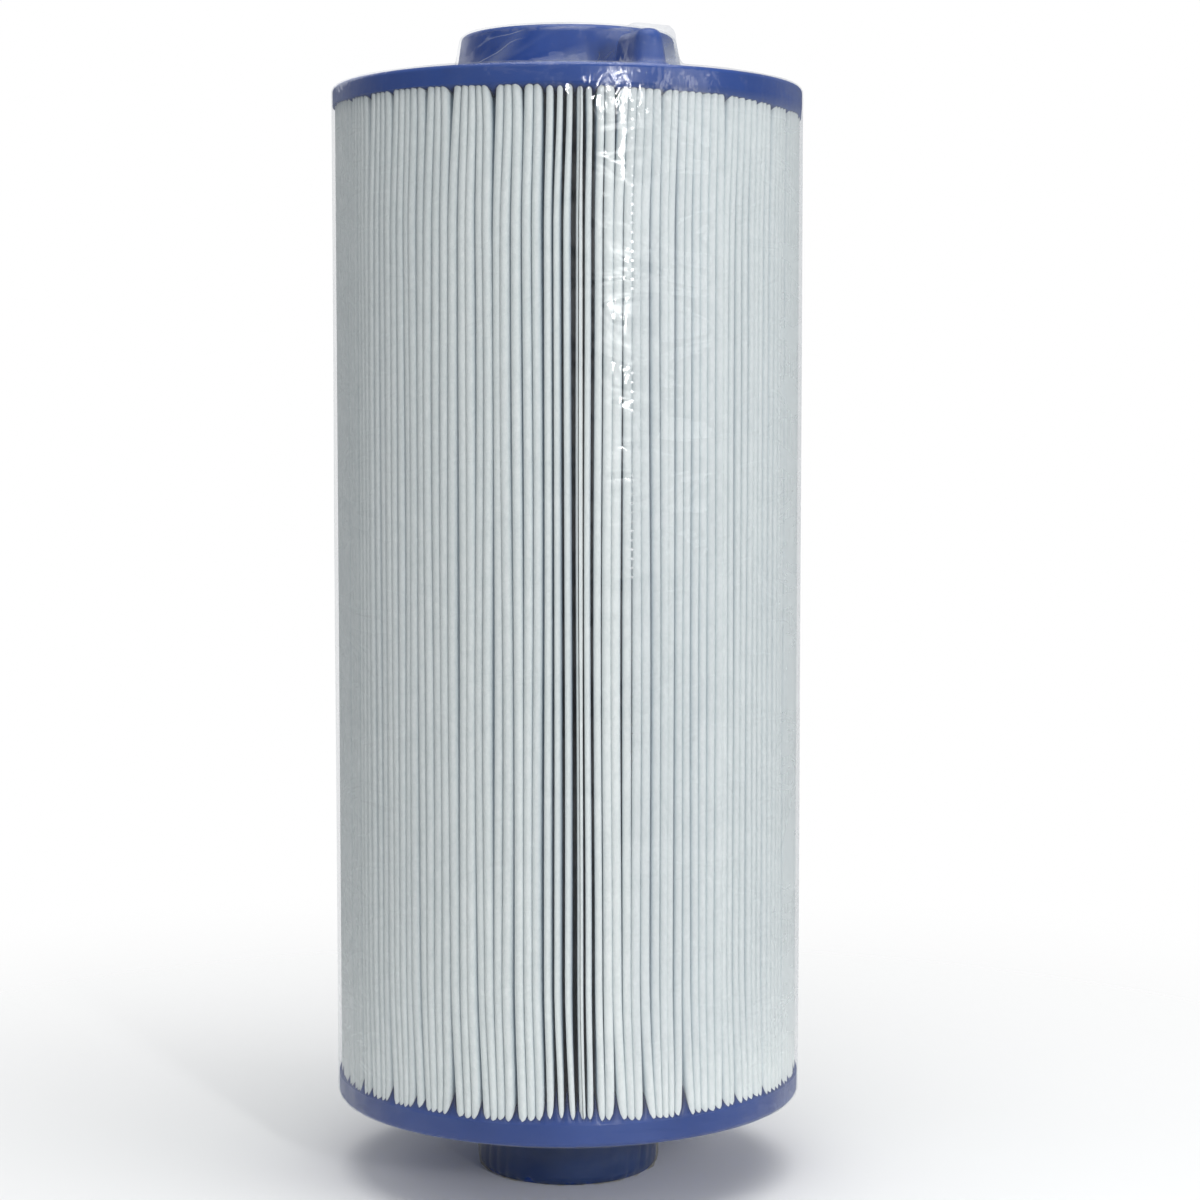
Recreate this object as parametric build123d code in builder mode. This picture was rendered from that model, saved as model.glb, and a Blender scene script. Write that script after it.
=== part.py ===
"""Pleated filter cartridge for a pool or spa: two cast end caps, core tube, pleated media and shrink film.

Millimetres. The cartridge stands upright along +Z with its outlet spigot down. The origin is on the
cartridge's axis in the plane of the spigot's end, and -Y is the front.
"""

import os
from math import cos, pi, radians, sin

from build123d import *

# ---- overall ----
cap_radius = 62.7
cap_to_cap = 270.6
spigot_height = 21.5
knob_height = 14.0

# ---- end caps ----
top_rim_height = 4.8
bottom_rim_height = 5.8
face_thickness = 2.4
dish_radius = 47.3
dish_depth = 1.0
dish_wall_slope = 0.8
rim_rounding = 1.2

# ---- spigot ----
spigot_radius = 24.15
bore_radius = 20.45
spigot_end_rounding = 2.2
spigot_root_rounding = 1.5
bore_mouth_rounding = 0.5

# ---- knob with its finger cup ----
knob_base_radius = 30.4
knob_top_radius = 28.2
cup_mouth_radius = 25.1
cup_floor_radius = 16.3
cup_depth = 13.0
knob_edge_rounding = 1.4
knob_root_rounding = 2.5
cup_floor_rounding = 2.0
bleed_hole_radius = 0.6

# ---- lugs on the top cap ----
lug_inner_radius = 37.0
lug_outer_radius = 56.4
lug_width = 10.0
lug_height = 11.0
lug_draft = 9.0
lug_rounding = 2.8
lug_foot_spread = 2.0
lug_foot_height = 2.4
lug_foot_slope = 40.0
lug_azimuth = -67.0

# ---- blank label frame on the top cap ----
label_azimuth = -25.0
label_radius = 55.3
label_length = 22.0
label_width = 7.6
label_line = 0.9
label_height = 0.25

# ---- core tube ----
core_outer_radius = 25.4
core_wall = 2.4
window_width = 9.0
window_height = 8.0
window_pitch = 12.0
window_rows = 19
window_columns = 8
window_corner = 1.2

# ---- pleated media ----
pleat_count = 160
media_thickness = 0.4
media_core_gap = 0.5
pleat_rim_gap = 0.5
pleat_tip_width = 1.6
seam_azimuth = -87.0
seam_glue_depth = 9.0

# ---- shrink film ----
film_thickness = 0.15
film_clearance = 0.3
film_knob_opening_radius = 24.6
film_spigot_opening_radius = 27.0
film_span_inner_radius = 30.2
film_span_outer_radius = 50.0
film_span_drop = 8.6
film_lug_slope = 18.0

# ---- levels along the axis ----
bottom_face = spigot_height
bottom_socket_floor = bottom_face + face_thickness
bottom_rim_top = bottom_face + bottom_rim_height
top_face = bottom_face + cap_to_cap
top_socket_floor = top_face - face_thickness
top_rim_bottom = top_face - top_rim_height
knob_top = top_face + knob_height
dish_level = top_face - dish_depth
insert_length = top_socket_floor - bottom_socket_floor
insert_middle = (top_socket_floor + bottom_socket_floor) / 2

# ---- radii that follow from the ones above ----
core_inner_radius = core_outer_radius - core_wall
media_inner_radius = core_outer_radius + media_core_gap
media_outer_radius = cap_radius - pleat_rim_gap
pleat_pitch_angle = 2 * pi / pleat_count
root_pitch = media_inner_radius * pleat_pitch_angle
root_gap = (root_pitch - 2 * media_thickness) / 2
root_width = root_gap + 2 * media_thickness
tip_radius = pleat_tip_width / 2
fold_centre_radius = media_outer_radius - tip_radius
cup_floor = knob_top - cup_depth
lug_top = dish_level + lug_height
film_span_level = knob_top - film_span_drop
lug_length = lug_outer_radius - lug_inner_radius
lug_middle_radius = (lug_inner_radius + lug_outer_radius) / 2
label_span = label_length / label_radius * 180 / pi
seam_slope = (tip_radius - media_thickness - root_gap / 2) / (fold_centre_radius - media_inner_radius)
glue_root_radius = fold_centre_radius - seam_glue_depth
glue_tip_half = tip_radius - media_thickness
glue_root_half = glue_tip_half - seam_glue_depth * seam_slope
outside_tip_steps = 4
inside_tip_steps = 2


def polar_point(radius, across, azimuth):
    """Point at a radius along an azimuth, moved sideways by a distance across it."""
    x = radius * cos(azimuth) - across * sin(azimuth)
    y = radius * sin(azimuth) + across * cos(azimuth)
    return (x, y)


def folded_tip(fold_radius, steps, azimuth):
    """Points round the outer fold of one pleat, from its right-hand wall to its left-hand wall."""
    points = []
    for step in range(steps + 1):
        turn = pi * step / steps
        radius = fold_centre_radius + fold_radius * sin(turn)
        points.append(polar_point(radius, -fold_radius * cos(turn), azimuth))
    return points


def pleat_azimuth(index):
    """Azimuth of a pleat's middle plane, counted from the seam."""
    return radians(seam_azimuth) + index * pleat_pitch_angle


def media_outline():
    """Closed outline of the folded web, which starts and ends with two free edges at the seam."""
    root_radius = media_inner_radius + media_thickness
    seam = pleat_azimuth(0)
    end_radius = fold_centre_radius
    outside = [polar_point(end_radius, tip_radius, seam)]
    outside.append(polar_point(root_radius, root_width / 2, seam))
    inside = [polar_point(end_radius, tip_radius - media_thickness, seam)]
    inside.append(polar_point(media_inner_radius, root_gap / 2, seam))
    for index in range(1, pleat_count):
        azimuth = pleat_azimuth(index)
        outside.append(polar_point(root_radius, -root_width / 2, azimuth))
        outside.extend(folded_tip(tip_radius, outside_tip_steps, azimuth))
        outside.append(polar_point(root_radius, root_width / 2, azimuth))
        inside.append(polar_point(media_inner_radius, -root_gap / 2, azimuth))
        inside.extend(folded_tip(tip_radius - media_thickness, inside_tip_steps, azimuth))
        inside.append(polar_point(media_inner_radius, root_gap / 2, azimuth))
    outside.append(polar_point(root_radius, -root_width / 2, seam))
    outside.append(polar_point(end_radius, -tip_radius, seam))
    inside.append(polar_point(media_inner_radius, -root_gap / 2, seam))
    inside.append(polar_point(end_radius, media_thickness - tip_radius, seam))
    return outside + inside[::-1]


os.makedirs("parts", exist_ok=True)

# ---- pleated media: one web folded into radial pleats, its ends potted in both caps ----
with BuildPart() as pleated_media:
    with BuildSketch(Plane.XY.offset(bottom_socket_floor)):
        with BuildLine():
            Polyline(*media_outline(), close=True)
        make_face()
    extrude(amount=insert_length)
pleated_media.part.label = "pleated_media"
export_step(pleated_media.part, "parts/pleated_media.step")

# ---- seam adhesive: the strip that joins the web's two free edges inside the seam pleat ----
with BuildPart() as seam_adhesive:
    with BuildSketch(Plane.XY.offset(bottom_socket_floor)):
        with BuildLine():
            Polyline(
                polar_point(glue_root_radius, -glue_root_half, pleat_azimuth(0)),
                polar_point(fold_centre_radius, -glue_tip_half, pleat_azimuth(0)),
                polar_point(fold_centre_radius, glue_tip_half, pleat_azimuth(0)),
                polar_point(glue_root_radius, glue_root_half, pleat_azimuth(0)),
                close=True,
            )
        make_face()
    extrude(amount=insert_length)
seam_adhesive.part.label = "seam_adhesive"
export_step(seam_adhesive.part, "parts/seam_adhesive.step")

# ---- core tube: rigid tube with rows of windows, which carries the pleats' inner folds ----
with BuildPart() as core_tube:
    with BuildSketch(Plane.XY.offset(bottom_socket_floor)):
        Circle(core_outer_radius)
        Circle(core_inner_radius, mode=Mode.SUBTRACT)
    extrude(amount=insert_length)
    for column in range(window_columns // 2):
        turn = 2 * pi * column / window_columns
        facing = (sin(turn), -cos(turn), 0)
        along = (cos(turn), sin(turn), 0)
        with BuildSketch(Plane(origin=(0, 0, insert_middle), x_dir=along, z_dir=facing)):
            with GridLocations(0, window_pitch, 1, window_rows):
                RectangleRounded(window_width, window_height, window_corner)
        extrude(amount=core_outer_radius, both=True, mode=Mode.SUBTRACT)
core_tube.part.label = "core_tube"
export_step(core_tube.part, "parts/core_tube.step")

# ---- bottom end cap: cast disc with the outlet spigot, which pots the pleats and the core ----
with BuildPart() as bottom_end_cap:
    with BuildSketch(Plane.XZ):
        with BuildLine():
            Polyline(
                (bore_radius, 0),
                (spigot_radius, 0),
                (spigot_radius, bottom_face + dish_depth),
                (dish_radius - dish_wall_slope, bottom_face + dish_depth),
                (dish_radius, bottom_face),
                (cap_radius, bottom_face),
                (cap_radius, bottom_rim_top),
                (bore_radius, bottom_rim_top),
                close=True,
            )
        make_face()
    revolve(axis=Axis.Z)
    circles = bottom_end_cap.edges().filter_by(GeomType.CIRCLE)
    spigot_end_edges = circles.filter_by_position(Axis.Z, 0, 0).sort_by(SortBy.RADIUS)
    spigot_root_edge = circles.filter_by_position(Axis.Z, bottom_face + dish_depth, bottom_face + dish_depth)
    rim_edge = circles.filter_by_position(Axis.Z, bottom_face, bottom_face).sort_by(SortBy.RADIUS)[-1]
    fillet(spigot_end_edges[-1], spigot_end_rounding)
    fillet(spigot_end_edges[0], bore_mouth_rounding)
    fillet(spigot_root_edge.sort_by(SortBy.RADIUS)[0], spigot_root_rounding)
    fillet(rim_edge, rim_rounding)
    add(pleated_media.part, mode=Mode.SUBTRACT)
    add(seam_adhesive.part, mode=Mode.SUBTRACT)
    with BuildSketch(Plane.XY.offset(bottom_socket_floor)):
        Circle(core_outer_radius)
        Circle(core_inner_radius, mode=Mode.SUBTRACT)
    extrude(amount=bottom_rim_top - bottom_socket_floor, mode=Mode.SUBTRACT)
bottom_end_cap.part.label = "bottom_end_cap"
export_step(bottom_end_cap.part, "parts/bottom_end_cap.step")

# ---- top end cap: cast closed disc with the knob, its finger cup, two lugs and a blank label frame ----
with BuildPart() as top_end_cap:
    with BuildSketch(Plane.XZ):
        with BuildLine():
            Polyline(
                (0, top_rim_bottom),
                (cap_radius, top_rim_bottom),
                (cap_radius, top_face),
                (dish_radius, top_face),
                (dish_radius - dish_wall_slope, dish_level),
                (knob_base_radius, dish_level),
                (knob_top_radius, knob_top),
                (cup_mouth_radius, knob_top),
                (cup_floor_radius, cup_floor),
                (0, cup_floor),
                close=True,
            )
        make_face()
    revolve(axis=Axis.Z)
    circles = top_end_cap.edges().filter_by(GeomType.CIRCLE)
    knob_edges = circles.filter_by_position(Axis.Z, knob_top, knob_top)
    cup_floor_edge = circles.filter_by_position(Axis.Z, cup_floor, cup_floor)
    knob_root_edge = circles.filter_by_position(Axis.Z, dish_level, dish_level).sort_by(SortBy.RADIUS)[0]
    rim_edge = circles.filter_by_position(Axis.Z, top_face, top_face).sort_by(SortBy.RADIUS)[-1]
    fillet(knob_edges, knob_edge_rounding)
    fillet(cup_floor_edge, cup_floor_rounding)
    fillet(knob_root_edge, knob_root_rounding)
    fillet(rim_edge, rim_rounding)

    # lugs: two drafted ridges along one diameter, with flared feet and rounded crests
    with BuildSketch(Plane.XY.offset(dish_level)):
        with PolarLocations(lug_middle_radius, 2, start_angle=lug_azimuth):
            SlotOverall(lug_length + 2 * lug_foot_spread, lug_width + 2 * lug_foot_spread)
    extrude(amount=lug_foot_height, taper=lug_foot_slope)
    with BuildSketch(Plane.XY.offset(dish_level)):
        with PolarLocations(lug_middle_radius, 2, start_angle=lug_azimuth):
            SlotOverall(lug_length, lug_width)
    extrude(amount=lug_height, taper=lug_draft)
    lug_crests = top_end_cap.edges().filter_by_position(Axis.Z, lug_top, lug_top)
    fillet(lug_crests, lug_rounding)

    # label frame: a raised oblong line that follows the annulus and encloses nothing
    with BuildSketch(Plane.XY.offset(top_face)):
        with BuildLine(mode=Mode.PRIVATE) as label_arc:
            CenterArc((0, 0), label_radius, label_azimuth - label_span / 2, label_span)
        SlotArc(label_arc.wire(), label_width)
        SlotArc(label_arc.wire(), label_width - 2 * label_line, mode=Mode.SUBTRACT)
    extrude(amount=label_height)

    # bleed hole through the middle of the cup's floor
    with BuildSketch(Plane.XY.offset(cup_floor)):
        Circle(bleed_hole_radius)
    extrude(amount=top_rim_bottom - cup_floor, mode=Mode.SUBTRACT)

    # sockets for the potted ends of the pleats, the seam strip and the core
    add(pleated_media.part, mode=Mode.SUBTRACT)
    add(seam_adhesive.part, mode=Mode.SUBTRACT)
    with BuildSketch(Plane.XY.offset(top_rim_bottom)):
        Circle(core_outer_radius)
        Circle(core_inner_radius, mode=Mode.SUBTRACT)
    extrude(amount=top_socket_floor - top_rim_bottom, mode=Mode.SUBTRACT)
top_end_cap.part.label = "top_end_cap"
export_step(top_end_cap.part, "parts/top_end_cap.step")

# ---- shrink film: clear sleeve drawn tight over the whole cartridge, tented over the lugs ----
# the outer skin is filled first, the inner one is then taken out of it, and the two ends are opened
skins = [(film_clearance + film_thickness, Mode.ADD), (film_clearance, Mode.SUBTRACT)]
with BuildPart() as shrink_film:
    for gap, skin_mode in skins:
        with BuildSketch(Plane.XZ):
            with BuildLine():
                Polyline(
                    (0, bottom_face - gap),
                    (cap_radius + gap, bottom_face - gap),
                    (cap_radius + gap, top_face + gap),
                    (film_span_outer_radius, top_face + gap),
                    (film_span_inner_radius + gap, film_span_level),
                    (knob_top_radius + gap, knob_top + gap),
                    (0, knob_top + gap),
                    close=True,
                )
            make_face()
        revolve(axis=Axis.Z, mode=skin_mode)
        with BuildSketch(Plane.XY.offset(dish_level)):
            with PolarLocations(lug_middle_radius, 2, start_angle=lug_azimuth):
                spread = 2 * (lug_foot_spread + gap)
                SlotOverall(lug_length + spread, lug_width + spread)
        extrude(amount=lug_height + gap, taper=film_lug_slope, mode=skin_mode)
    with BuildSketch(Plane.XY.offset(knob_top)):
        Circle(film_knob_opening_radius)
    extrude(amount=knob_height, mode=Mode.SUBTRACT)
    with BuildSketch(Plane.XY.offset(bottom_face)):
        Circle(film_spigot_opening_radius)
    extrude(amount=-spigot_height, mode=Mode.SUBTRACT)
shrink_film.part.label = "shrink_film"
export_step(shrink_film.part, "parts/shrink_film.step")
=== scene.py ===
import math
from collections import namedtuple

import bpy
import numpy as np
from mathutils import Euler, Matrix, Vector


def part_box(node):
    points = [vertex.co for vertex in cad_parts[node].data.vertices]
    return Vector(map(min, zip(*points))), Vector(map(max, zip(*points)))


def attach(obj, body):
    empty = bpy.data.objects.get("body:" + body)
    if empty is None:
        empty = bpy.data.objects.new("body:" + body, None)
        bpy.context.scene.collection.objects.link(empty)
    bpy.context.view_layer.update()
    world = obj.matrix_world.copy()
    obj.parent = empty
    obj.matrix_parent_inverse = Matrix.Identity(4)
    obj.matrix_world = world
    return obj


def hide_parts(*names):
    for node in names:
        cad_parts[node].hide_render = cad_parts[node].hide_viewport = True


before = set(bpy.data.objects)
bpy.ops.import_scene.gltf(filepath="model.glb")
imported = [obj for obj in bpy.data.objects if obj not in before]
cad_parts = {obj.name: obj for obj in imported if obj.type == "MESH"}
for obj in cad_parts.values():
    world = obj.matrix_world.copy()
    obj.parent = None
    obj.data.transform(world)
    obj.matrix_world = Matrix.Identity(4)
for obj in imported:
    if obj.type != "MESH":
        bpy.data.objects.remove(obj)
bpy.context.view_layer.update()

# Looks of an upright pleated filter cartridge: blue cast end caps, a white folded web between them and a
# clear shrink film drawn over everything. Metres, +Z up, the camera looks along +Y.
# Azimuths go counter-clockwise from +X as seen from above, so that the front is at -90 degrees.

MM = 0.001
TURN = 2 * math.pi

# ---- the frame's own measures ----
TOP_LOW, TOP_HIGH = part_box("top_end_cap")
_, BOTTOM_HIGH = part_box("bottom_end_cap")
WEB_LOW, WEB_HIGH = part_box("pleated_media")
CAP_R = TOP_HIGH.x
KNOB_TOP = TOP_HIGH.z
TOP_RIM = TOP_LOW.z
BOTTOM_RIM = BOTTOM_HIGH.z
FACE_THICKNESS = 2.4 * MM                   # from the web's potted end out to the cap's face
TOP_FACE = WEB_HIGH.z + FACE_THICKNESS
BOTTOM_FACE = WEB_LOW.z - FACE_THICKNESS

# ---- camera ----
CAMERA_PLACE = (0.0, -0.7123, BOTTOM_FACE + 0.1869)
CAMERA_PITCH_DOWN = math.radians(4.255)
CAMERA_YAW_RIGHT = math.radians(0.70)
CAMERA_LENS, CAMERA_SENSOR = 78.81, 36

# ---- the folded web ----
PLEATS = 160
PLEAT_TURN = TURN / PLEATS
SEAM_AZIMUTH = math.radians(-87.0)
SEAM_EDGE = 0.12 * MM                       # each glued edge stops this far from its pleat's middle
OPEN_ZONE_AZIMUTH = math.radians(-88.4)     # where the pleats stand apart and show dark gaps
OPEN_ZONE_HALF = math.radians(5.5)
WEB_END_ROWS, WEB_MIDDLE_ROWS = 11, 34
WEB_END_LENGTH = 24.0 * MM                  # next to each cap, where the rows of the mesh are closest
ROOT_R = 26.3 * MM
MIDDLE_R = 45.0 * MM
LEAN_R = 56.0 * MM                          # pleats lean over only outside this radius
ROOT_HALF = 0.26 * MM
FLANK_END = 1.8 * MM                        # from the rounded fold back to the end of the straight flank
FOLD_ROUNDNESS = 0.85                       # the fold's height over its half width
DRIFTS = 26                                 # waves that the folds' sideways drift is made of

# ---- lugs on the top cap ----
LUG_AZIMUTHS = (math.radians(-67.0), math.radians(113.0))
LUG_TOP = TOP_FACE + 10.0 * MM

# ---- potting lines ----
POTTING_COLUMNS = PLEATS * 8
POTTING_DEPTHS = (0.02, 0.05, 0.2, 0.45, 0.75, 1.1, 1.6, 2.2, 3.2, 5.0, 8.0)    # mm in from the cap's edge
TOP_END_ROW, BOTTOM_END_ROW = -3, 2         # rows of the web's mesh where the urethane meets the pleats

# ---- shrink film, with its lengthwise welded lap at the back ----
FILM_SEAM_AZIMUTH = math.radians(90.0)
FILM_LAP = math.radians(3.0)
FILM_COLUMNS = 480
MOUTH_ROWS, OVER_TOP_ROWS, BODY_ROWS, UNDER_ROWS = 10, 40, 106, 36
FILM_OFF_EDGE = 0.32                        # mm from the caps' edges to the film
CREASES, RIPPLES = 5, 30                    # waves that the film's creases and ripples are made of
PHASES = (0, 6.28)                          # where those waves may start, about one turn
PINHOLE_AZIMUTH = math.radians(-75.4)
PINHOLE_PITCH = 2.3 * MM
GLINT_AZIMUTH = math.radians(-71.0)         # the middle of the puckers that glint
HAZY_FROM, HAZY_TO = math.radians(-76.0), math.radians(35.0)
HAZY_RISE, HAZY_FADE = 0.02, 0.5            # radians over which the haze comes in and goes out

# ---- colours, as pairs of a dark and a bright tone ----
TOP_TONES = ((0.011, 0.05, 0.24), (0.018, 0.072, 0.32))
# the bottom pair is the same urethane as the top, made darker as painted shade on the lower cap
BOTTOM_PAINTED_SHADE_TONES = ((0.009, 0.038, 0.19), (0.015, 0.056, 0.26))
# painted shade: near-black blue for urethane deep between the pleats
PAINTED_SHADE_BLUE_TONES = ((0.0015, 0.007, 0.045), (0.003, 0.012, 0.07))
WEB_TONES = ((0.68, 0.73, 0.72), (0.84, 0.87, 0.855))
# painted shade of the web deep between the pleats
PAINTED_SHADE_WEB_TONES = ((0.42, 0.52, 0.6), (0.56, 0.66, 0.73))
CORE_TONES = ((0.006, 0.009, 0.014), (0.014, 0.019, 0.028))
GLUE_TONES = ((0.7, 0.73, 0.72), (0.8, 0.82, 0.8))
MILK_TONES = ((0.62, 0.67, 0.72), (0.78, 0.82, 0.86))
# the shrunk film's tint is partly painted shade that dims the spigot, where the film is also shrunk thick
CLEAR_FILM_TINT, SHRUNK_FILM_PAINTED_SHADE_TINT = (0.98, 0.985, 0.99), (0.9, 0.87, 0.76)
WHITE = (1, 1, 1, 1)


# ---------------------------------------------------------------- small helpers

def smooth(x, low, high):
    """0 below low, 1 above high, and an even S between them."""
    t = np.clip((x - low) / (high - low), 0.0, 1.0)
    return t * t * (3 - 2 * t)


def waves(rng, angle, orders):
    """An even random wave round the axis, about 1 high, made of whole-number orders."""
    wave = np.zeros_like(angle)
    power = 0.0
    for k in orders:
        gain = k ** -0.5
        wave += gain * np.sin(k * angle + rng.uniform(0, TURN))
        power += gain * gain / 2
    return wave / math.sqrt(power)


def signed_turn(angle, middle):
    """Angle from the middle, between minus and plus half a turn."""
    return (angle - middle + math.pi) % TURN - math.pi


def grid_mesh(name, points, closed):
    """A mesh of quads from points[row][column]; closed joins the last column to the first."""
    rows, columns = points.shape[:2]
    across = np.arange(columns if closed else columns - 1)
    after = (across + 1) % columns
    up = np.arange(rows - 1)[:, None] * columns
    quads = np.stack([up + across, up + after, up + columns + after, up + columns + across], axis=-1)
    mesh = bpy.data.meshes.new(name)
    mesh.from_pydata(points.reshape(-1, 3).tolist(), [], quads.reshape(-1, 4).tolist())
    mesh.polygons.foreach_set("use_smooth", [True] * len(mesh.polygons))
    mesh.update()
    piece = bpy.data.objects.new(name, mesh)
    bpy.context.scene.collection.objects.link(piece)
    return piece


def round_axis(radius, angle, height):
    """Points from radius, angle and height arrays of one shape."""
    return np.stack([radius * np.cos(angle), radius * np.sin(angle), height], axis=-1)


# ---------------------------------------------------------------- shader helpers

def new_material(name):
    """A material with an empty node tree, and that tree."""
    made = bpy.data.materials.new(name)
    made.use_nodes = True
    made.node_tree.nodes.clear()
    return made, made.node_tree


def feed(tree, socket, value):
    """Link the socket if the value is another node's output, or else set it."""
    if isinstance(value, bpy.types.NodeSocket):
        tree.links.new(value, socket)
    else:
        socket.default_value = value


def add(tree, kind, **inputs):
    """A node with its inputs given by name, spaces written as underscores."""
    made = tree.nodes.new(kind)
    for key, value in inputs.items():
        feed(tree, made.inputs[key.replace("_", " ")], value)
    return made


def operated(tree, kind, operation, values):
    """A maths node that does the operation on the values, in order."""
    made = tree.nodes.new(kind)
    made.operation = operation
    for socket, value in zip(made.inputs, values):
        feed(tree, socket, value)
    return made


def arithmetic(tree, operation, *values):
    return operated(tree, "ShaderNodeMath", operation, values).outputs[0]


def product(tree, *values):
    """All the values multiplied together."""
    result = values[0]
    for value in values[1:]:
        result = arithmetic(tree, "MULTIPLY", result, value)
    return result


def total(tree, *values):
    """All the values added together."""
    result = values[0]
    for value in values[1:]:
        result = arithmetic(tree, "ADD", result, value)
    return result


def vector_arithmetic(tree, operation, *vectors):
    return operated(tree, "ShaderNodeVectorMath", operation, vectors).outputs["Vector"]


def length(tree, vector):
    return operated(tree, "ShaderNodeVectorMath", "LENGTH", [vector]).outputs["Value"]


def noise(tree, where, scale, detail=3.0, roughness=0.5, distortion=0.0):
    return add(tree, "ShaderNodeTexNoise", Vector=where, Scale=scale, Detail=detail,
               Roughness=roughness, Distortion=distortion).outputs["Fac"]


def spread(tree, value, low, high, to_low=0, to_high=1, shape="LINEAR"):
    """A value from low..high put onto to_low..to_high, held at the ends; the shape is the curve between."""
    made = add(tree, "ShaderNodeMapRange", Value=value, From_Min=low, From_Max=high,
               To_Min=to_low, To_Max=to_high)
    made.interpolation_type = shape
    return made.outputs["Result"]


def two_tone(tree, value, dark, bright):
    """Colour between dark and bright by a value from 0 to 1."""
    ramp = tree.nodes.new("ShaderNodeValToRGB")
    ramp.color_ramp.elements[0].color = (*dark, 1.0)
    ramp.color_ramp.elements[1].color = (*bright, 1.0)
    tree.links.new(value, ramp.inputs["Fac"])
    return ramp.outputs["Color"]


def mixed(tree, share, first, second):
    """Colour going from the first to the second as the share goes from 0 to 1."""
    mix = tree.nodes.new("ShaderNodeMix")
    mix.data_type = "RGBA"
    for name, value in (("Factor_Float", share), ("A_Color", first), ("B_Color", second)):
        tree.links.new(value, next(socket for socket in mix.inputs if socket.identifier == name))
    return next(socket for socket in mix.outputs if socket.identifier == "Result_Color")


def blend(tree, share, first, second):
    """Shader going from the first to the second as the share goes from 0 to 1."""
    mix = add(tree, "ShaderNodeMixShader", Fac=share)
    tree.links.new(first, mix.inputs[1])
    tree.links.new(second, mix.inputs[2])
    return mix.outputs[0]


def object_place(tree):
    """The object's own coordinates, in metres."""
    return tree.nodes.new("ShaderNodeTexCoord").outputs["Object"]


def mapped(tree, place, **how):
    """A place turned or scaled, given as Rotation or Scale."""
    return add(tree, "ShaderNodeMapping", Vector=place, **how).outputs["Vector"]


def stretched_place(tree, x=1, y=1, z=1):
    """The object's own coordinates scaled along each axis: less than 1 draws a pattern out."""
    return mapped(tree, object_place(tree), Scale=(x, y, z))


def from_axis(tree):
    """Distance from the cartridge's axis, in metres."""
    return length(tree, stretched_place(tree, z=0))


def bump(tree, height, strength, distance, before=None):
    """Normal of a surface raised by the height, on top of an earlier bump if there is one."""
    made = add(tree, "ShaderNodeBump", Height=height, Strength=strength, Distance=distance)
    if before is not None:
        tree.links.new(before, made.inputs["Normal"])
    return made.outputs["Normal"]


def glossy(tree, rough, normal):
    return add(tree, "ShaderNodeBsdfGlossy", Color=WHITE, Roughness=rough, Normal=normal).outputs[0]


def shown(tree, shader, output="ShaderNodeOutputMaterial"):
    """Make the shader the tree's visible surface."""
    tree.links.new(shader, add(tree, output).inputs["Surface"])


# ---------------------------------------------------------------- materials of the solid pieces

def urethane_material(name, dark, bright, with_painted_shade=False):
    """Cast blue urethane: satin, slightly mottled and uneven; with painted shade, it is coloured near-black
    deep between the pleats.
    """
    made, tree = new_material(name)
    place = stretched_place(tree)
    mottle = spread(tree, noise(tree, place, 38, 4, 0.6), 0.3, 0.7)
    colour = two_tone(tree, mottle, dark, bright)
    # painted shade: a little way in from the cap's edge the colour goes to near-black blue, where the gaps
    # between pleats lie in shade
    if with_painted_shade:
        out_of_painted_shade = spread(tree, from_axis(tree), CAP_R - 1.3 * MM, CAP_R - 0.25 * MM)
        colour = mixed(tree, out_of_painted_shade, two_tone(tree, mottle, *PAINTED_SHADE_BLUE_TONES), colour)
    rough = spread(tree, noise(tree, place, 170, 3, 0.55), 0.3, 0.7, 0.3, 0.46)
    wavy = bump(tree, noise(tree, place, 55, 2), 0.35, 1.2 * MM)
    fine = bump(tree, noise(tree, place, 900, 2), 0.02, 0.1 * MM, wavy)
    shader = add(tree, "ShaderNodeBsdfPrincipled", Base_Color=colour, Roughness=rough, Normal=fine,
                 Specular_IOR_Level=0.32)
    shown(tree, shader.outputs[0])
    return made


def web_material():
    """White spun-bonded polyester: matted short fibres, faintly mottled, rough, with painted shade that makes
    it darker and bluish deep in the pleats.
    """
    made, tree = new_material("spunbond_web")
    place = stretched_place(tree, z=0.55)
    fibres = noise(tree, place, 1500, 4, 0.65, 0.6)
    patches = noise(tree, place, 420, 3, 0.6)
    broad = noise(tree, stretched_place(tree, z=0.2), 45, 2)
    tone = total(tree, product(tree, fibres, 0.45), product(tree, patches, 0.35), product(tree, broad, 0.2))
    tone = spread(tree, tone, 0.34, 0.66)
    # painted shade: away from the pleats' outer edges the colour goes darker and bluish, where shade falls
    # between them
    out_of_painted_shade = spread(tree, from_axis(tree), CAP_R - 3.2 * MM, CAP_R - 0.9 * MM)
    colour = mixed(tree, out_of_painted_shade, two_tone(tree, tone, *PAINTED_SHADE_WEB_TONES), two_tone(tree, tone, *WEB_TONES))
    shader = add(tree, "ShaderNodeBsdfPrincipled", Base_Color=colour, Roughness=0.85,
                 Normal=bump(tree, fibres, 0.35, 0.2 * MM), Specular_IOR_Level=0.25, Sheen_Weight=0.15)
    shown(tree, shader.outputs[0])
    return made


def core_material():
    """Dark moulded plastic of the tube seen down the bore."""
    made, tree = new_material("core_plastic")
    place = stretched_place(tree)
    colour = two_tone(tree, noise(tree, place, 90, 3), *CORE_TONES)
    rough = spread(tree, noise(tree, place, 260, 3), 0.3, 0.7, 0.42, 0.6)
    shader = add(tree, "ShaderNodeBsdfPrincipled", Base_Color=colour, Roughness=rough,
                 Normal=bump(tree, noise(tree, place, 900, 2), 0.2, 0.1 * MM))
    shown(tree, shader.outputs[0])
    return made


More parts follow.
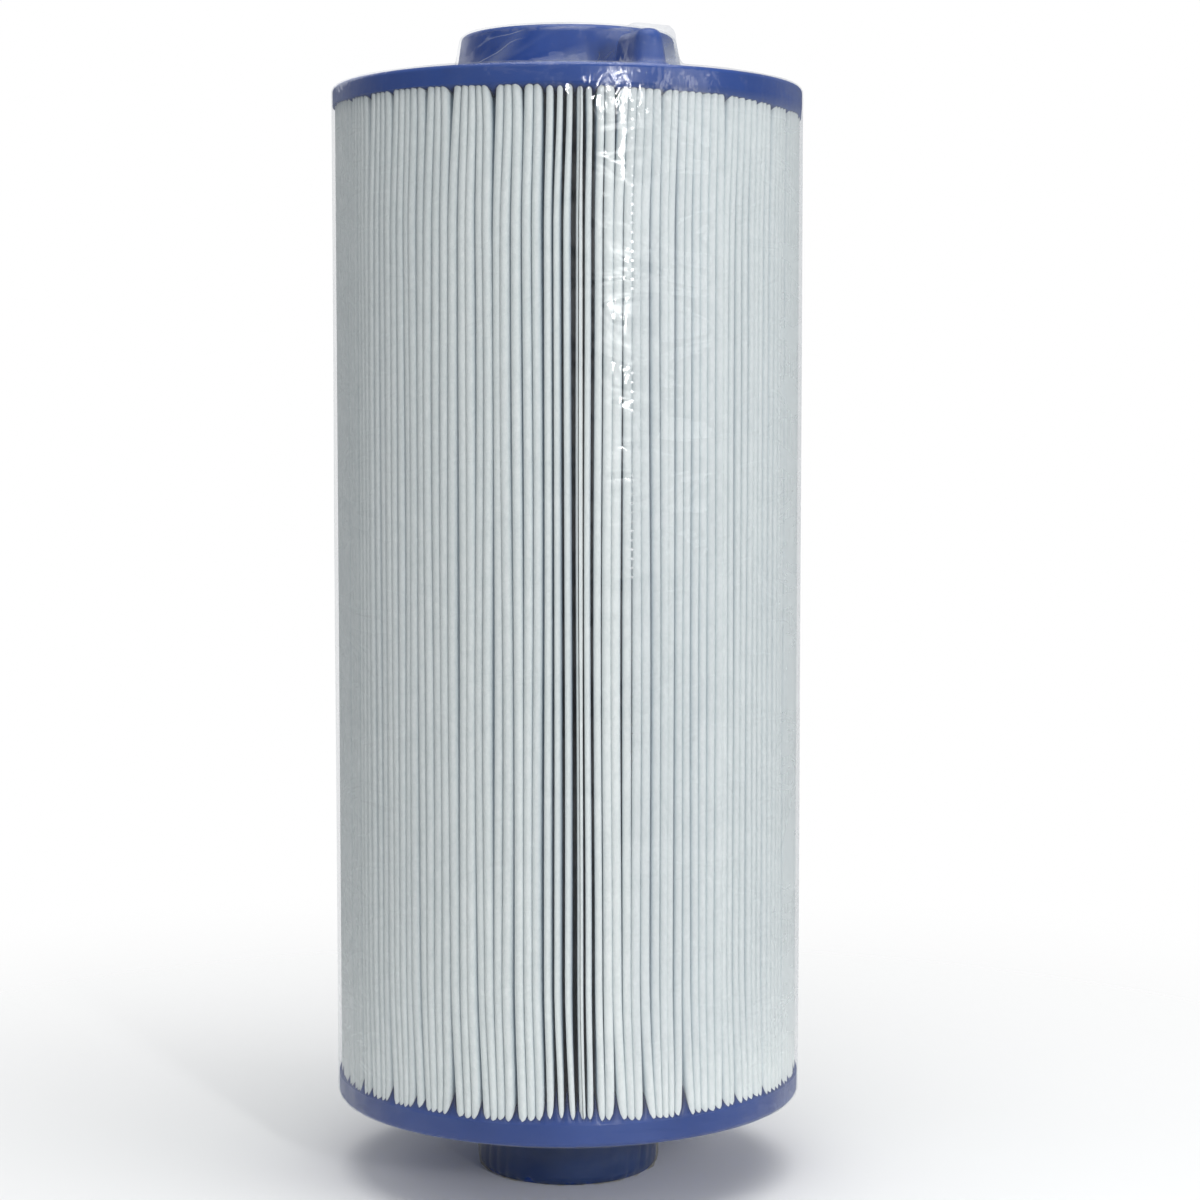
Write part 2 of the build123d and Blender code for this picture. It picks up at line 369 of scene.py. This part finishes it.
def glue_material():
    """Pale hot-melt glue in the seam pleat."""
    made, tree = new_material("seam_glue")
    place = stretched_place(tree, z=0.4)
    colour = two_tone(tree, noise(tree, place, 500, 3), *GLUE_TONES)
    shader = add(tree, "ShaderNodeBsdfPrincipled", Base_Color=colour, Roughness=0.5,
                 Normal=bump(tree, noise(tree, place, 800, 2), 0.4, 0.3 * MM))
    shown(tree, shader.outputs[0])
    return made


def floor_material():
    """Matt pale floor that fades into the white surroundings far from the object."""
    made, tree = new_material("pale_floor")
    fade = spread(tree, length(tree, object_place(tree)), 0.04, 0.42, shape="SMOOTHSTEP")
    matt = add(tree, "ShaderNodeBsdfDiffuse", Color=(0.93, 0.93, 0.925, 1)).outputs[0]
    clear = add(tree, "ShaderNodeBsdfTransparent").outputs[0]
    shown(tree, blend(tree, fade, matt, clear))
    return made


# ---------------------------------------------------------------- film material

def off_lugs(tree, place):
    """Share of the veil that shows: all of it away from the lugs, least where the film bears on them."""
    # along the lugs is X and across them is Y; the clear band lies 1.7 mm to one side of their middle line
    turned = mapped(tree, place, Rotation=(0, 0, -LUG_AZIMUTHS[0]))
    on_lugs = add(tree, "ShaderNodeSeparateXYZ", Vector=turned)
    beside = arithmetic(tree, "ABSOLUTE", total(tree, on_lugs.outputs["Y"], 1.7 * MM))
    outward = arithmetic(tree, "ABSOLUTE", on_lugs.outputs["X"])
    return arithmetic(tree, "MAXIMUM", spread(tree, beside, 6.6 * MM, 8.4 * MM, 0.12, 1),
                      spread(tree, outward, 44 * MM, 50 * MM, 0.6, 0.12))


def veil_over_knob(tree, place, x, height):
    """Milkiness over the top cap: soft slanting folds, a bank at the knob's root and a few thin ridges."""
    slanted = mapped(tree, place, Rotation=(0, math.radians(20), 0))
    folds = mapped(tree, slanted, Scale=(0.4, 0.8, 1.9))
    soft_folds = spread(tree, noise(tree, folds, 52, 2, 0.45, 0.5), 0.48, 0.66, 0.0, 0.26)
    # the bank at the root climbs to the right, as far as 14 mm from the middle
    climb = product(tree, arithmetic(tree, "MINIMUM", x, 14 * MM), 0.34)
    above_bank = arithmetic(tree, "SUBTRACT", height, climb)
    bank = spread(tree, above_bank, TOP_FACE + 1 * MM, TOP_FACE + 7.8 * MM, 0.45, 0.0)
    # a ridge runs wherever the noise passes through its middle value
    off_middle = arithmetic(tree, "SUBTRACT", noise(tree, folds, 70, 1, 0.4, 0.8), 0.5)
    ridges = product(tree, spread(tree, arithmetic(tree, "ABSOLUTE", off_middle), 0, 0.012, 0.45, 0),
                     spread(tree, noise(tree, place, 45, 1), 0.5, 0.6))
    veil = total(tree, product(tree, total(tree, soft_folds, bank), off_lugs(tree, place)), ridges)
    return product(tree, spread(tree, height, TOP_FACE + 1 * MM, TOP_FACE + 4 * MM), veil)


def pinhole_row(tree, place, turn, height):
    """A lengthwise row of tiny holes to tear the film along: 0.9 in a hole, fading out low on the pleats."""
    aside = product(tree, arithmetic(tree, "SUBTRACT", turn, PINHOLE_AZIMUTH), CAP_R)
    along_row = arithmetic(tree, "PINGPONG", height, PINHOLE_PITCH / 2)
    squared = total(tree, product(tree, aside, aside), product(tree, along_row, along_row))
    from_hole = arithmetic(tree, "SQRT", squared)
    return product(tree, spread(tree, from_hole, 0.2 * MM, 0.5 * MM, 0.9, 0),
                   spread(tree, noise(tree, place, 95, 2), 0.42, 0.6, 0.1, 1),
                   spread(tree, height, TOP_RIM - 5 * MM, TOP_RIM - 3 * MM, 1, 0),
                   spread(tree, height, BOTTOM_RIM + 60 * MM, BOTTOM_RIM + 160 * MM))


def pleat_haze(tree, place, turn, height):
    """Milkiness of the body: a trace everywhere, more on the pleats from the pinholes round to the right."""
    right_hand = product(tree, spread(tree, turn, HAZY_FROM - HAZY_RISE, HAZY_FROM + HAZY_RISE),
                         spread(tree, turn, HAZY_TO - HAZY_FADE, HAZY_TO, 1, 0),
                         spread(tree, height, BOTTOM_RIM, BOTTOM_RIM + 20 * MM),
                         spread(tree, height, TOP_RIM - 4 * MM, TOP_RIM, 0.17, 0))
    return total(tree, spread(tree, noise(tree, place, 40, 3), 0.35, 0.7, 0.0, 0.03), right_hand)


def crinkled_normal(tree, place, height, shoulder):
    """Fine and broad crinkles everywhere, sharp puckers at the top cap's edge, rumples high on the pleats."""
    fine = noise(tree, stretched_place(tree, z=0.3), 330, 2, 0.5, 0.3)
    broad = noise(tree, place, 60, 2, 0.5, 0.8)
    puckers = product(tree, noise(tree, stretched_place(tree, z=0.5), 260, 2, 0.6, 1.0), shoulder)
    rumples = product(tree, noise(tree, stretched_place(tree, z=1.8), 60, 2, 0.6, 1.0),
                      spread(tree, height, TOP_RIM - 110 * MM, TOP_RIM - 40 * MM, 0.2, 1))
    normal = bump(tree, fine, 0.1, 0.3 * MM)
    normal = bump(tree, broad, 0.25, 1.2 * MM, normal)
    normal = bump(tree, puckers, 0.35, 0.8 * MM, normal)
    return bump(tree, rumples, 0.3, 1.2 * MM, normal)


def facet_normal(tree):
    """Tiny flat facets, each tipped its own way, which glint where the film is puckered."""
    tip = 0.28
    cells = add(tree, "ShaderNodeTexVoronoi", Vector=stretched_place(tree, z=0.6), Scale=1250.0)
    tipped = vector_arithmetic(tree, "MULTIPLY_ADD", cells.outputs["Color"], [2 * tip] * 3, [-tip] * 3)
    facing = add(tree, "ShaderNodeNewGeometry").outputs["Normal"]
    return vector_arithmetic(tree, "NORMALIZE", vector_arithmetic(tree, "ADD", tipped, facing))


def film_material():
    """Clear shrink film: see-through and shiny, milky where it is folded, with pinholes and glints."""
    made, tree = new_material("shrink_film")
    place = object_place(tree)
    split = add(tree, "ShaderNodeSeparateXYZ", Vector=place).outputs
    x, y, height = split["X"], split["Y"], split["Z"]
    turn = arithmetic(tree, "ARCTAN2", y, x)
    shoulder = product(tree, spread(tree, height, TOP_RIM - 11 * MM, TOP_RIM - 2 * MM),
                       spread(tree, height, TOP_FACE - 1 * MM, TOP_FACE + 1 * MM, 1, 0.15))

    # see-through, with a warm tint on the spigot that is painted shade, dimming and greying it as if in
    # shade, where the film is also shrunk thick; milky by the haze; the milk is lit as a smooth upright
    # surface, and 0.4 of it lets light through
    shrunk_and_shaded = spread(tree, height, BOTTOM_FACE - 1 * MM, BOTTOM_FACE - 4 * MM)
    tint = two_tone(tree, shrunk_and_shaded, CLEAR_FILM_TINT, SHRUNK_FILM_PAINTED_SHADE_TINT)
    clear = add(tree, "ShaderNodeBsdfTransparent", Color=tint).outputs[0]
    grey = two_tone(tree, noise(tree, place, 120, 2), *MILK_TONES)
    outward = add(tree, "ShaderNodeCombineXYZ", X=x, Y=y, Z=0.02).outputs[0]
    upright = vector_arithmetic(tree, "NORMALIZE", outward)
    lit = add(tree, "ShaderNodeBsdfDiffuse", Color=grey, Normal=upright).outputs[0]
    through = add(tree, "ShaderNodeBsdfTranslucent", Color=grey).outputs[0]
    haze = total(tree, pleat_haze(tree, place, turn, height), veil_over_knob(tree, place, x, height))
    film = blend(tree, haze, clear, blend(tree, 0.4, lit, through))

    # shine in patches, sharpest on the shoulder and least over the top cap, and duller in the pinholes
    dots = pinhole_row(tree, place, turn, height)
    normal = crinkled_normal(tree, place, height, shoulder)
    patches = noise(tree, stretched_place(tree, 0.5, 0.5, 1.3), 70, 3, 0.65, 1.2)
    rough = product(tree, spread(tree, patches, 0.47, 0.58, 0.45, 0.06),
                    spread(tree, shoulder, 0, 1, 1, 0.35))
    rough = arithmetic(tree, "MAXIMUM", rough, product(tree, dots, 0.5))
    edge_on = add(tree, "ShaderNodeFresnel", IOR=1.42, Normal=normal).outputs[0]
    shine = product(tree, arithmetic(tree, "MINIMUM", edge_on, 0.16),
                    spread(tree, height, TOP_FACE + 1 * MM, TOP_FACE + 5 * MM, 1, 0.45))
    shine = arithmetic(tree, "MAXIMUM", shine, product(tree, dots, 0.45))
    film = blend(tree, shine, film, glossy(tree, rough, normal))

    # glinting facets in spots on the shoulder, mostly where the light strikes it
    off_glints = arithmetic(tree, "ABSOLUTE", arithmetic(tree, "SUBTRACT", turn, GLINT_AZIMUTH))
    crazed = product(tree, spread(tree, noise(tree, place, 150, 2), 0.48, 0.56, 0, 0.055),
                     spread(tree, off_glints, 0.28, 0.5, 1, 0.12), shoulder)
    shown(tree, blend(tree, crazed, film, glossy(tree, 0.08, facet_normal(tree))))
    return made


# ---------------------------------------------------------------- the folded web

# azimuth, left and right hold the pleats' azimuths and half widths at every level: rows are levels
Layout = namedtuple("Layout", "azimuth left right tip level")


def bunching(rng, azimuth, is_open):
    """Each pleat's turn towards its bunch of one to five pleats, or of one or two in the open zone."""
    shift = np.zeros(PLEATS)
    start = 0
    while start < PLEATS:
        count = int(rng.integers(1, 3) if is_open[start] > 0.3 else rng.choice([1, 2, 2, 3, 3, 4, 5]))
        bunch = slice(start, min(start + count, PLEATS))
        aside = PLEAT_TURN * rng.normal() * (0.45 + 0.35 * is_open[start])
        shift[bunch] = (azimuth[bunch].mean() - azimuth[bunch]) * rng.uniform(0.5, 1.5) + aside
        start += count
    return shift


def web_levels():
    """Heights of the web's rows above its lower end: close together near the caps, wider between."""
    span = WEB_HIGH.z - WEB_LOW.z
    end = np.linspace(0, WEB_END_LENGTH, WEB_END_ROWS)
    between = np.linspace(WEB_END_LENGTH, span - WEB_END_LENGTH, WEB_MIDDLE_ROWS + 2)[1:-1]
    return np.concatenate([end, between, span - end[::-1]])


def pleat_layout(rng):
    """Where each pleat stands and how wide it is at every level, and how far out its tip is."""
    even = SEAM_AZIMUTH + np.arange(PLEATS) * TURN / PLEATS
    off_zone = np.abs(signed_turn(even, OPEN_ZONE_AZIMUTH))
    is_open = 1 - smooth(off_zone, OPEN_ZONE_HALF * 0.75, OPEN_ZONE_HALF * 1.3)
    # pleats stand unevenly: wider in the open zone, a little by chance, and in slow waves round the axis
    space = 1 + 0.1 * is_open + 0.07 * rng.standard_normal(PLEATS) + 0.04 * waves(rng, even, range(3, 24))
    space = np.clip(space, 0.84, 1.2)
    azimuth = SEAM_AZIMUTH + TURN * np.concatenate([[0], np.cumsum(space)[:-1]]) / space.sum()
    tip = WEB_HIGH.x - (0.08 + 0.12 * np.abs(rng.standard_normal(PLEATS)) + 0.12 * is_open) * MM

    # bunches are tight at each cap and loosen over the first 9 mm, with a trace left over 60 mm
    level = web_levels()
    at = np.repeat(azimuth[None, :], len(level), axis=0)
    for from_end, gather in ((level, 0.30), (level[-1] - level, 0.24)):
        pull = gather * (0.72 * np.exp(-from_end / (9 * MM)) + 0.28 * np.exp(-from_end / (60 * MM)))
        at += pull[:, None] * bunching(rng, azimuth, is_open)[None, :]

    # a pleat is as wide as it wants to be, if its neighbours leave it room
    after = np.roll(at, -1, axis=1)
    after[:, -1] += TURN
    room = (after - at) * CAP_R / 2
    wanted = (1.23 - 0.52 * is_open + 0.06 * rng.standard_normal(PLEATS)) * MM
    tight = 0.96 - 0.1 * is_open - 0.03 * np.abs(rng.standard_normal(PLEATS))
    right = np.minimum(wanted, room * tight)
    left = np.minimum(wanted, np.roll(room, 1, axis=1) * tight)
    return Layout(at, left, right, tip, WEB_LOW.z + level)


def half_pleat(side, wide, tip):
    """One flank and half the fold of a pleat, from root to fold, as pairs of sideways offset and radius.

    The side is -1 or 1; wide is the half width of the fold, one value for each level.
    """
    rise = wide * FOLD_ROUNDNESS
    crown = tip - rise
    middle_half = ROOT_HALF + (wide - ROOT_HALF) * (MIDDLE_R - ROOT_R) / (crown - ROOT_R)
    outline = [(ROOT_HALF, ROOT_R), (middle_half, MIDDLE_R), (wide * 0.985, crown - FLANK_END)]
    outline += [(wide * math.cos(t), crown + rise * math.sin(t)) for t in (0, math.pi / 4)]
    return [(side * sideways, radius) for sideways, radius in outline]


def web_columns(layout):
    """The web's columns in order, from one glued edge to the other: pleat number, sideways offset, radius."""
    columns = []
    for i, tip in enumerate(layout.tip):
        left = half_pleat(-1, layout.left[:, i], tip)
        right = half_pleat(1, layout.right[:, i], tip)[::-1]
        if i == 0:
            last_stretch = left + [(-SEAM_EDGE, tip)]
            outline = [(SEAM_EDGE, tip)] + right
        else:
            outline = left + [(0, tip)] + right
        columns += [(i, sideways, radius) for sideways, radius in outline]
    return columns + [(0, sideways, radius) for sideways, radius in last_stretch]


def build_web(rng, layout):
    """One web folded into radial pleats, from the glued seam round to the seam; its folds wander a little."""
    level = layout.level
    rows = len(level)
    wander = waves(rng, layout.azimuth[0], range(2, 12))
    lean = (1.25 + 0.3 * wander + 0.25 * rng.standard_normal(PLEATS)) * MM
    columns = web_columns(layout)
    owner = [pleat for pleat, _, _ in columns]
    across = np.stack([np.broadcast_to(sideways, rows) for _, sideways, _ in columns], axis=1)
    radius = np.stack([np.broadcast_to(out, rows) for _, _, out in columns], axis=1)
    middle = layout.azimuth[:, owner]

    # the folds drift sideways in waves round and along the web, and lean over between the caps; both are
    # held at the caps, and neither moves the roots
    z = level[:, None]
    share = (z - level[0]) / (level[-1] - level[0])
    drift = np.zeros_like(across)
    for _ in range(DRIFTS):
        order = rng.integers(4, 46)
        lift = rng.uniform(0.5, 3.2)
        phase, start = rng.uniform(0, TURN, 2)
        drift += np.sin(order * middle + phase) * np.sin(math.pi * lift * share + start)
    held = np.sin(math.pi * share) ** 0.6
    depth = (radius - ROOT_R) / (CAP_R - ROOT_R)
    bent = np.clip((radius - LEAN_R) / (CAP_R - LEAN_R), 0, 1) ** 1.6
    free = smooth(z - level[0], 2 * MM, 40 * MM) * smooth(level[-1] - z, 2 * MM, 40 * MM)
    across = across + 0.06 * MM * drift * held * depth - lean[owner][None, :] * bent * free
    radius = radius + 0.05 * MM * held * waves(rng, middle, range(5, 60)) * depth

    x = radius * np.cos(middle) - across * np.sin(middle)
    y = radius * np.sin(middle) + across * np.cos(middle)
    web = grid_mesh("folded_web", np.stack([x, y, np.broadcast_to(z, x.shape)], axis=-1), closed=False)
    row = rows // 2
    legs = np.linalg.norm(np.diff(np.stack([x[row], y[row]], axis=-1), axis=0), axis=1).sum()
    return web, float(legs)


# ---------------------------------------------------------------- potting lines

def top_skirt(angle):
    """How far the top cap's urethane hangs down, in mm: it was cast a little tilted, lowest at the right."""
    return 0.15 + 3.0 * (0.5 + 0.5 * np.cos(angle - math.radians(22))) ** 1.5 + 0.15 * np.sin(9 * angle)


def bottom_skirt(angle):
    """How far the bottom cap's urethane stands up, in mm."""
    return 0.3 + 0.25 * np.sin(3 * angle) + 0.2 * np.sin(8 * angle + 1)


def build_potting(rng, name, layout, upward, base, per_gap, skirt):
    """Urethane that crept up between the pleats before it set: high in the wide gaps, low at the folds.

    In a gap it climbs base mm and per_gap mm more for each mm of the gap's width.
    """
    end = BOTTOM_END_ROW if upward else TOP_END_ROW
    angle = np.linspace(-math.pi, math.pi, POTTING_COLUMNS, endpoint=False)
    middle = layout.azimuth[end]
    after = np.append(middle[1:], middle[0] + TURN)
    this_side, far_side = layout.right[end], np.roll(layout.left[end], -1)
    gap = (after - middle) * CAP_R - this_side - far_side
    peak = (base + per_gap * np.clip(gap / MM - 0.1, 0, 1.5)) * rng.uniform(0.7, 1.25, PLEATS) * MM
    crest = (middle + after + (this_side - far_side) / CAP_R) / 2
    low = rng.uniform(0.15, 0.7, PLEATS) * np.minimum(peak, np.roll(peak, 1))

    # the line runs through a low point at each pleat and a peak in each gap
    knots = np.concatenate([middle, crest])
    heights = np.concatenate([low, peak])
    order = np.argsort(knots)
    line = np.interp(angle, knots[order], heights[order], period=TURN)[None, :]
    depth = np.array(POTTING_DEPTHS)[:, None] * MM
    climb = line * (1 - np.exp(-np.clip(depth - 0.3 * MM, 0, None) / (1.2 * MM)))
    climb = climb + skirt(angle)[None, :] * MM * smooth(depth, 0.0, 0.22 * MM) - 0.05 * MM
    height = BOTTOM_RIM + climb if upward else TOP_RIM - climb
    points = round_axis(CAP_R - depth + 0 * angle, angle + 0 * depth, height)
    return grid_mesh(name, points if upward else points[:, ::-1], closed=True)


# ---------------------------------------------------------------- shrink film

def along(points, samples):
    """Even samples, as (radius, height), along a path of (radius, height) points in millimetres."""
    points = np.array(points, float) * MM
    run = np.concatenate([[0], np.cumsum(np.linalg.norm(np.diff(points, axis=0), axis=1))])
    at = np.linspace(0, run[-1], samples)
    return np.stack([np.interp(at, run, points[:, k]) for k in (0, 1)], axis=-1)


def film_outlines():
    """The film's outline in five stretches, from the knob's mouth to the spigot's end, as (radius, height).

    The last value is the stretch that replaces the second one where the film is tented over a lug.
    """
    top, face, low = KNOB_TOP / MM, TOP_FACE / MM, BOTTOM_FACE / MM
    crest = LUG_TOP / MM + 0.9
    edge = CAP_R / MM + FILM_OFF_EDGE
    knob_side, cap_edge = (28.9, top - 1.2), (61.3, face + 0.40)
    mouth = along([(24.0, top - 1.3), (24.9, top - 0.1), (25.6, top + 0.38), (27.6, top + 0.38),
                   (28.6, top - 0.2), knob_side], MOUTH_ROWS)
    hugging = along([knob_side, (29.3, top - 3.0), (30.0, top - 7.0), (31.4, face + 4.0), (34.0, face + 1.5),
                     (44.0, face + 0.75), (52.0, face + 0.45), cap_edge], OVER_TOP_ROWS)
    tented = along([knob_side, (30.6, top - 2.0), (38.0, crest - 0.1), (46.0, crest), (54.6, crest - 0.4),
                    (57.2, crest - 1.8), (58.4, crest - 5.0), (59.6, face + 1.2), cap_edge], OVER_TOP_ROWS)
    corner = [(edge - 1.5 + 1.5 * math.sin(t), face - 1.2 + 1.5 * math.cos(t))
              for t in np.radians([25, 50, 75])]
    body = along([(edge, face - 1.2), (edge, low + 1.2)], BODY_ROWS)
    under = along([(edge - 0.3, low + 0.25), (edge - 1.5, low - 0.36), (52.0, low - 0.36), (40.0, low - 0.3),
                   (30.0, low - 0.1), (26.4, low - 1.0), (24.9, low - 3.2), (24.6, low - 8.0), (24.55, 3.0),
                   (24.2, 1.1), (23.2, 0.25)], UNDER_ROWS)
    return (mouth, hugging, np.array(corner) * MM, body, under), tented


def build_film(rng):
    """The film's skin, swept round the axis: over knob and lugs, down the pleats, in under the bottom cap."""
    stretches, tented = film_outlines()
    spine = np.concatenate(stretches)
    rows = len(spine)
    first = MOUTH_ROWS
    last = MOUTH_ROWS + OVER_TOP_ROWS
    angle = FILM_SEAM_AZIMUTH + np.linspace(0, TURN + FILM_LAP, FILM_COLUMNS)
    radius = np.repeat(spine[:, 0][:, None], FILM_COLUMNS, axis=1)
    height = np.repeat(spine[:, 1][:, None], FILM_COLUMNS, axis=1)
    hugging = spine[first:last]
    for lug in LUG_AZIMUTHS:
        turn = signed_turn(angle, lug)
        sideways = np.abs(radius[first:last] * np.sin(turn))
        near = (1 - smooth(sideways, 4.2 * MM, 7.2 * MM)) * (np.abs(turn) < math.pi / 2)
        radius[first:last] += near * (tented[:, 0] - hugging[:, 0])[:, None]
        height[first:last] += near * (tented[:, 1] - hugging[:, 1])[:, None]

    # creases: folded waves that only ever lift the film off what is under it, and gathers on the spigot;
    # a step is a row of the film's mesh, counted from the knob's mouth
    turn = angle[None, :]
    step = np.arange(rows)[:, None]
    crease = np.zeros_like(radius)
    for _ in range(CREASES):
        order, slant, start = rng.integers(3, 9), rng.uniform(0.10, 0.22), rng.uniform(*PHASES)
        crease += np.abs(np.sin(order * turn + slant * step + start)) / CREASES
    gathered = smooth(step, 4, first + 6) * (1 - smooth(step, last - 6, last + 2))
    lift = 1.1 * MM * np.clip(crease - 0.5, 0, None) * gathered
    on_spigot = smooth(step, rows - 22, rows - 12)
    lift = lift + 0.5 * MM * on_spigot * np.abs(np.sin(19 * turn + 0.12 * step + np.sin(3 * turn)))
    height = height + lift * (step < last + 4)

    # ripples on the body, and the lap's upper layer lifted off the lower one
    ripple = np.zeros_like(radius)
    for _ in range(RIPPLES):
        order, rise, start = rng.integers(6, 60), rng.uniform(0.01, 0.12), rng.uniform(*PHASES)
        ripple += np.sin(order * turn + rise * step * rng.choice([-1, 1]) + start) / math.sqrt(RIPPLES / 2)
    on_body = smooth(step, last, last + 6) * (1 - smooth(step, rows - 40, rows - 30))
    on_lap = smooth(angle, angle[-1] - 2 * FILM_LAP, angle[-1] - FILM_LAP)
    radius = radius + 0.05 * MM * ripple * on_body + lift * 0.6 + 0.15 * MM * on_lap

    # ragged openings, kept above the floor
    ends = (step < 2) * 0.5 + (step > rows - 3) * 0.6
    ragged = 0.6 * waves(rng, turn, range(3, 30)) + 0.3 * waves(rng, turn, range(30, 90))
    height = height + ends * MM * ragged
    height = np.maximum(height, 0.05 * MM)
    points = round_axis(radius, turn + 0 * step, height)
    return grid_mesh("film_wrap", points[::-1], closed=False)


# ---------------------------------------------------------------- put the pieces together

rng = np.random.default_rng(706)
layout = pleat_layout(rng)
web, web_length = build_web(rng, layout)
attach(web, "root")
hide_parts("pleated_media")
web.data.materials.append(web_material())

potting_top = build_potting(rng, "potting_line_top", layout, False, 0.6, 1.6, top_skirt)
potting_bottom = build_potting(rng, "potting_line_bottom", layout, True, 1.9, 5.0, bottom_skirt)
# the potting lines are coloured with painted shade, dark blue deep between the pleats
for piece, tones, slot in ((potting_top, TOP_TONES, "blue_urethane_top"),
                           (potting_bottom, BOTTOM_PAINTED_SHADE_TONES, "blue_urethane_bottom")):
    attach(piece, "root")
    piece.data.materials.append(urethane_material(piece.name + "_blue_painted_shade", *tones, with_painted_shade=True))

film = build_film(rng)
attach(film, "root")
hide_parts("shrink_film")
film.data.materials.append(film_material())

# the bottom cap gets the darker tones: painted shade on the same blue as the top cap
for node, made in (("top_end_cap", urethane_material("blue_urethane_top", *TOP_TONES)),
                   ("bottom_end_cap", urethane_material("blue_urethane_bottom", *BOTTOM_PAINTED_SHADE_TONES)),
                   ("core_tube", core_material()), ("seam_adhesive", glue_material())):
    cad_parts[node].material_slots[0].material = made

# ---------------------------------------------------------------- floor, surroundings, lamps, camera

FLOOR_HALF = 2.5
floor_points = [[(-FLOOR_HALF, -FLOOR_HALF, 0), (FLOOR_HALF, -FLOOR_HALF, 0)],
                [(-FLOOR_HALF, FLOOR_HALF, 0), (FLOOR_HALF, FLOOR_HALF, 0)]]
floor = grid_mesh("studio_floor", np.array(floor_points, float), closed=False)
floor.data.materials.append(floor_material())

# the camera sees the surroundings white, while they light the object much less
world = bpy.data.worlds.new("studio_white")
bpy.context.scene.world = world
world.use_nodes = True
sky = world.node_tree
sky.nodes.clear()
soft_sky = add(sky, "ShaderNodeBackground", Color=(0.93, 0.96, 1.0, 1), Strength=0.36).outputs[0]
seen_sky = add(sky, "ShaderNodeBackground", Color=WHITE, Strength=1.0).outputs[0]
to_camera = add(sky, "ShaderNodeLightPath").outputs["Is Camera Ray"]
shown(sky, blend(sky, to_camera, soft_sky, seen_sky), "ShaderNodeOutputWorld")

# name, place, width, height and watts of each lamp, all aimed near the cartridge's middle; the last two
# are small, for the glints down the film and on its puckers
LAMPS_AIM = (0, 0, 0.16)
LAMPS = (
    ("overhead", (0.1, -0.2, 1.35), 1.1, 1.1, 11),
    ("front_high", (-0.45, -1.3, 1.0), 1.1, 0.7, 1.6),
    ("key_right", (1.15, -0.75, 0.55), 0.7, 0.9, 3.9),
    ("back_fill", (-0.8, 1.2, 0.9), 1.0, 0.8, 2.2),
    ("glint_strip", (0.45, -1.0, 0.36), 0.06, 0.3, 2.8),
    ("sparkle", (0.42, -1.0, 0.4), 0.03, 0.05, 1.0),
)
for name, place, width, height, watts in LAMPS:
    lamp = bpy.data.lights.new(name, "AREA")
    lamp.shape = "RECTANGLE"
    lamp.size, lamp.size_y, lamp.energy = width, height, watts
    holder = bpy.data.objects.new(name, lamp)
    bpy.context.scene.collection.objects.link(holder)
    holder.location = place
    holder.rotation_euler = (Vector(LAMPS_AIM) - Vector(place)).to_track_quat("-Z", "Y").to_euler()

camera = bpy.data.cameras.new("camera")
camera.lens = CAMERA_LENS
camera.sensor_width = CAMERA_SENSOR
camera.clip_start, camera.clip_end = 0.01, 50
viewer = bpy.data.objects.new("camera", camera)
bpy.context.scene.collection.objects.link(viewer)
viewer.location = CAMERA_PLACE
viewer.rotation_euler = Euler((math.pi / 2 - CAMERA_PITCH_DOWN, 0, -CAMERA_YAW_RIGHT), "XYZ")
bpy.context.scene.camera = viewer
bpy.context.scene.view_settings.view_transform = "Standard"
